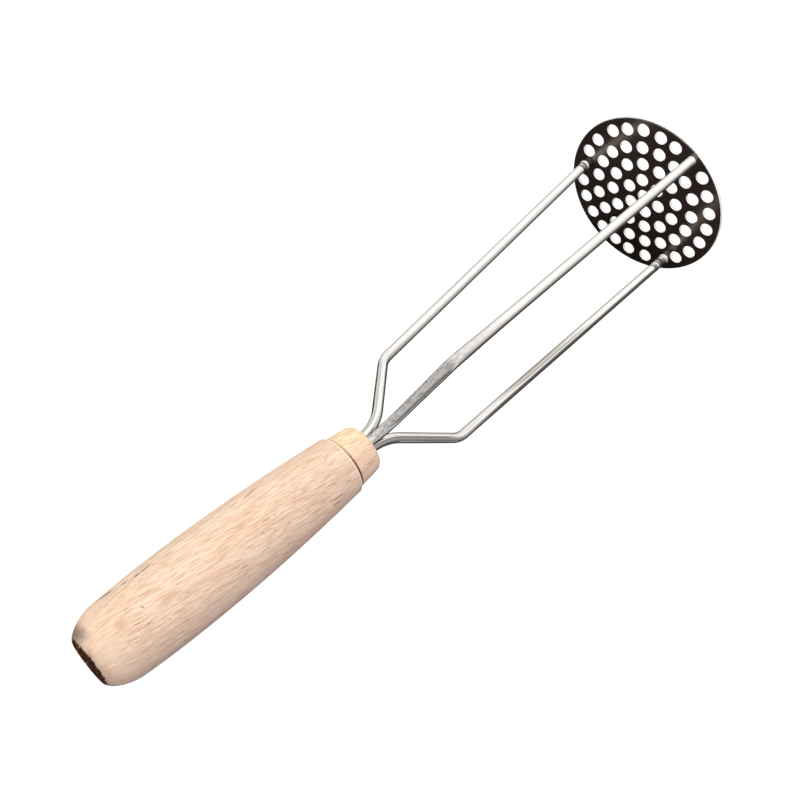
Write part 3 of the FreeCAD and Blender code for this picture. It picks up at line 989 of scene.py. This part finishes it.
def build_handle(material):
    """The turned grip as one closed mesh, made about Z and placed on the leaning grip axis."""
    profile = grip_profile()
    vertices = [Vector((0.0, 0.0, profile[0][1]))]
    for radius, height in profile[1:-1]:
        for side in range(GRIP_SIDES):
            angle = 2.0 * math.pi * side / GRIP_SIDES
            vertices.append(Vector((radius * math.cos(angle), radius * math.sin(angle), height)))
    vertices.append(Vector((0.0, 0.0, profile[-1][1])))
    last = len(vertices) - 1
    last_ring = last - GRIP_SIDES
    faces = []
    for side in range(GRIP_SIDES):
        after = (side + 1) % GRIP_SIDES
        faces.append((0, 1 + after, 1 + side))
        faces.append((last, last_ring + side, last_ring + after))
    faces += tube_faces(1, len(profile) - 2, GRIP_SIDES)
    piece = mesh_piece("turned_handle", vertices, faces, material)
    piece.matrix_world = GRIP_FRAME
    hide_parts("handle")
    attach(piece, "root")


# ---- Studio -------------------------------------------------------------------------------

# Light of the world, as directions and levels. The sky and the ground are each brightest
# towards one side.
BRIGHT_SKY_DIRECTION = Vector((0.55, -0.75, 0.40)).normalized()
SKY_DIM = 0.11
SKY_BRIGHT = 0.80
HORIZON_WHITE = (1.02, 1.02, 1.02, 1.0)
GROUND_BRIGHT_AZIMUTH = -52.0
GROUND_MEAN = 0.68
GROUND_SWING = 0.72
GROUND_DIMMEST = 0.08
GROUND_TINT = (1.0, 0.985, 0.965)

FLOOR_HALF_WIDTH = 30.0
FLOOR_GREY = (0.35, 0.35, 0.35, 1.0)
FLOOR_GLOW = 0.88

CAMERA_PLACE = Vector((23.6, -319.0, 319.9)) * MM
CAMERA_FORWARD = Vector((-0.05461, 0.88427, -0.46376)).normalized()
CAMERA_UP = Vector((0.76527, -0.26128, -0.58830))
CAMERA_LENS = 45.96
CAMERA_SENSOR = 36.0


def flat_object(name, corners, material):
    """One four-cornered face."""
    mesh = bpy.data.meshes.new(name)
    mesh.from_pydata(corners, [], [(0, 1, 2, 3)])
    mesh.materials.append(material)
    flat = bpy.data.objects.new(name, mesh)
    bpy.context.scene.collection.objects.link(flat)
    return flat


def build_floor():
    """Plain white floor that the masher stands on, lit through so that it shows no shadow. The
    steel reflects the lower half of the world in its place."""
    half = FLOOR_HALF_WIDTH
    corners = [(-half, -half, 0.0), (half, -half, 0.0), (half, half, 0.0), (-half, half, 0.0)]
    graph = Graph("pale_floor")
    graph.surface(Base_Color=FLOOR_GREY, Roughness=0.9)
    graph.surface(Emission_Color=(1, 1, 1, 1), Emission_Strength=FLOOR_GLOW)
    floor = flat_object("floor", corners, graph.material)
    floor.visible_glossy = False


def build_card(name, corners, graph, lights_matt, shows_in_steel):
    """Glowing studio card that the camera doesn't see. It lights matt surfaces, or shows in
    reflections, or both."""
    graph.surface(Base_Color=(0, 0, 0, 1), Roughness=1.0, Specular_IOR_Level=0.0)
    card = flat_object(name, corners, graph.material)
    card.visible_camera = False
    card.visible_diffuse = lights_matt
    card.visible_glossy = shows_in_steel
    card.visible_shadow = False
    card.visible_transmission = False


def build_shade_flag():
    """Dim screen that keeps soft light off the shaded side, and tints it a little blue."""
    x = -0.20
    half_depth = 0.45
    low, high = 0.04, 0.65
    corners = [
        (x, -half_depth, low),
        (x, half_depth, low),
        (x, half_depth, high),
        (x, -half_depth, high),
    ]
    graph = Graph("shade_flag_face")
    graph.surface(Emission_Color=(0.82, 0.76, 1.0, 1), Emission_Strength=0.42)
    build_card("shade_flag", corners, graph, lights_matt=True, shows_in_steel=False)


def build_far_card():
    """Dark card behind the masher that the plate's top reflects, blackest on its -X side."""
    half_width = 1.2
    near, far = 0.55, 1.0
    low, high = 0.02, 1.75
    corners = [
        (-half_width, near, low),
        (half_width, near, low),
        (half_width, far, high),
        (-half_width, far, high),
    ]
    black, step_to_bright = 0.005, 0.08
    graph = Graph("far_card_face")
    x, _, height = graph.separate(graph.object_position())
    by_side = graph.step(x, -0.12, 0.02, 0.0, 0.70)
    by_height = graph.step(height, 0.62, 0.80)
    rise = graph.math("MAXIMUM", by_side, by_height)
    brightness = graph.math("MULTIPLY_ADD", rise, step_to_bright, black)
    graph.surface(Emission_Color=(1.0, 0.80, 0.80, 1), Emission_Strength=brightness)
    build_card("far_card", corners, graph, lights_matt=False, shows_in_steel=True)


def build_key_light():
    """Soft round lamp in front, above and to the +X side. The steel doesn't mirror it."""
    place = Vector((0.36, -1.12, 0.85))
    target = Vector((0.0, 0.0, 0.2))
    light = bpy.data.lights.new("key", "AREA")
    light.shape = "DISK"
    light.size = 0.8
    light.energy = 10.4
    light.color = (1.0, 0.985, 0.95)
    lamp = bpy.data.objects.new("key", light)
    bpy.context.scene.collection.objects.link(lamp)
    lamp.location = place
    lamp.rotation_mode = "QUATERNION"
    lamp.rotation_quaternion = (place - target).to_track_quat("Z", "Y")
    lamp.visible_glossy = False


def sky_color(graph, x, y, z):
    """White at the horizon, and brighter overhead towards the key light's side."""
    facing = graph.multiply(x, BRIGHT_SKY_DIRECTION.x)
    facing = graph.math("MULTIPLY_ADD", y, BRIGHT_SKY_DIRECTION.y, facing)
    facing = graph.math("MULTIPLY_ADD", z, BRIGHT_SKY_DIRECTION.z, facing)
    sky = graph.step(facing, -0.3, 1.0, SKY_DIM, SKY_BRIGHT)
    near_horizon = graph.step(z, 0.10, 0.30, 1.0, 0.0)
    return graph.mix(near_horizon, graph.combine(sky, sky, sky), HORIZON_WHITE)


def ground_color(graph, x, y):
    """Bright on one side and grey on the other, so that the upright rods are shaded across."""
    bright = polar(1.0, GROUND_BRIGHT_AZIMUTH, 0.0)
    towards_x = graph.multiply(x, bright.x)
    towards_y = graph.multiply(y, bright.y)
    level = graph.math("MAXIMUM", graph.length(graph.combine(x, y, 0.0)), 0.01)
    facing = graph.math("DIVIDE", graph.math("ADD", towards_x, towards_y), level)
    ground = graph.math("MULTIPLY_ADD", facing, GROUND_SWING, GROUND_MEAN)
    ground = graph.math("MAXIMUM", ground, GROUND_DIMMEST)
    return graph.combine(*(graph.multiply(ground, part) for part in GROUND_TINT))


def build_world():
    """Soft studio all round, with a sky above the horizon and a ground below it."""
    world = bpy.data.worlds.new("studio_world")
    world.use_nodes = True
    graph = Graph.of_world(world)
    direction = graph.tree.nodes.new("ShaderNodeTexCoord").outputs["Generated"]
    x, y, z = graph.separate(direction)
    is_ground = graph.step(z, -0.12, -0.06, 1.0, 0.0)
    color = graph.mix(is_ground, sky_color(graph, x, y, z), ground_color(graph, x, y))
    graph.set(graph.tree.nodes["Background"], "Color", color)
    bpy.context.scene.world = world


def build_camera():
    """Camera in front and above, rolled so that the grip points down to the left."""
    right = CAMERA_FORWARD.cross(CAMERA_UP).normalized()
    up = right.cross(CAMERA_FORWARD)
    data = bpy.data.cameras.new("photo_camera")
    data.sensor_width = CAMERA_SENSOR
    data.lens = CAMERA_LENS
    data.clip_start = 0.01
    data.clip_end = 200.0
    camera = bpy.data.objects.new("photo_camera", data)
    bpy.context.scene.collection.objects.link(camera)
    turn = Matrix((right, up, -CAMERA_FORWARD)).transposed().to_4x4()
    camera.matrix_world = Matrix.Translation(CAMERA_PLACE) @ turn
    bpy.context.scene.camera = camera


# ---- Scene --------------------------------------------------------------------------------


def dress_cad_nodes():
    """Materials for the CAD pieces that are kept as they are. The rods don't mirror the plate,
    so that their feet stay as bright as the ground makes them."""
    materials = {
        "mash_plate": plate_steel_material(),
        "tang_weld": hidden_material("tack_weld_steel", WELD_STEEL, roughness=0.5, metallic=1.0),
        "bore_resin": hidden_material("amber_resin", AMBER_RESIN, roughness=0.35, metallic=0.0),
    }
    for name, material in materials.items():
        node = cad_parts[name]
        node.data.materials.clear()
        node.data.materials.append(material)
    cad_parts["mash_plate"].visible_glossy = False


def main():
    bpy.context.scene.view_settings.view_transform = "Standard"
    build_camera()
    build_world()
    build_floor()
    build_key_light()
    build_far_card()
    build_shade_flag()
    dress_cad_nodes()
    build_leg("front_leg", "worn_steel_rod", wear=0.6, reflection_stripes=FRONT_LEG_REFLECTIONS)
    build_leg("right_leg", "clean_steel_rod", wear=0.12, reflection_stripes=RIGHT_LEG_REFLECTIONS)
    # Its khaki and dark stripes and its foot bands are painted reflections and shade.
    build_leg("left_leg", "khaki_reflection_steel_rod", wear=0.12, reflection_stripes=LEFT_LEG_REFLECTIONS)
    build_handle(wood_material())


main()
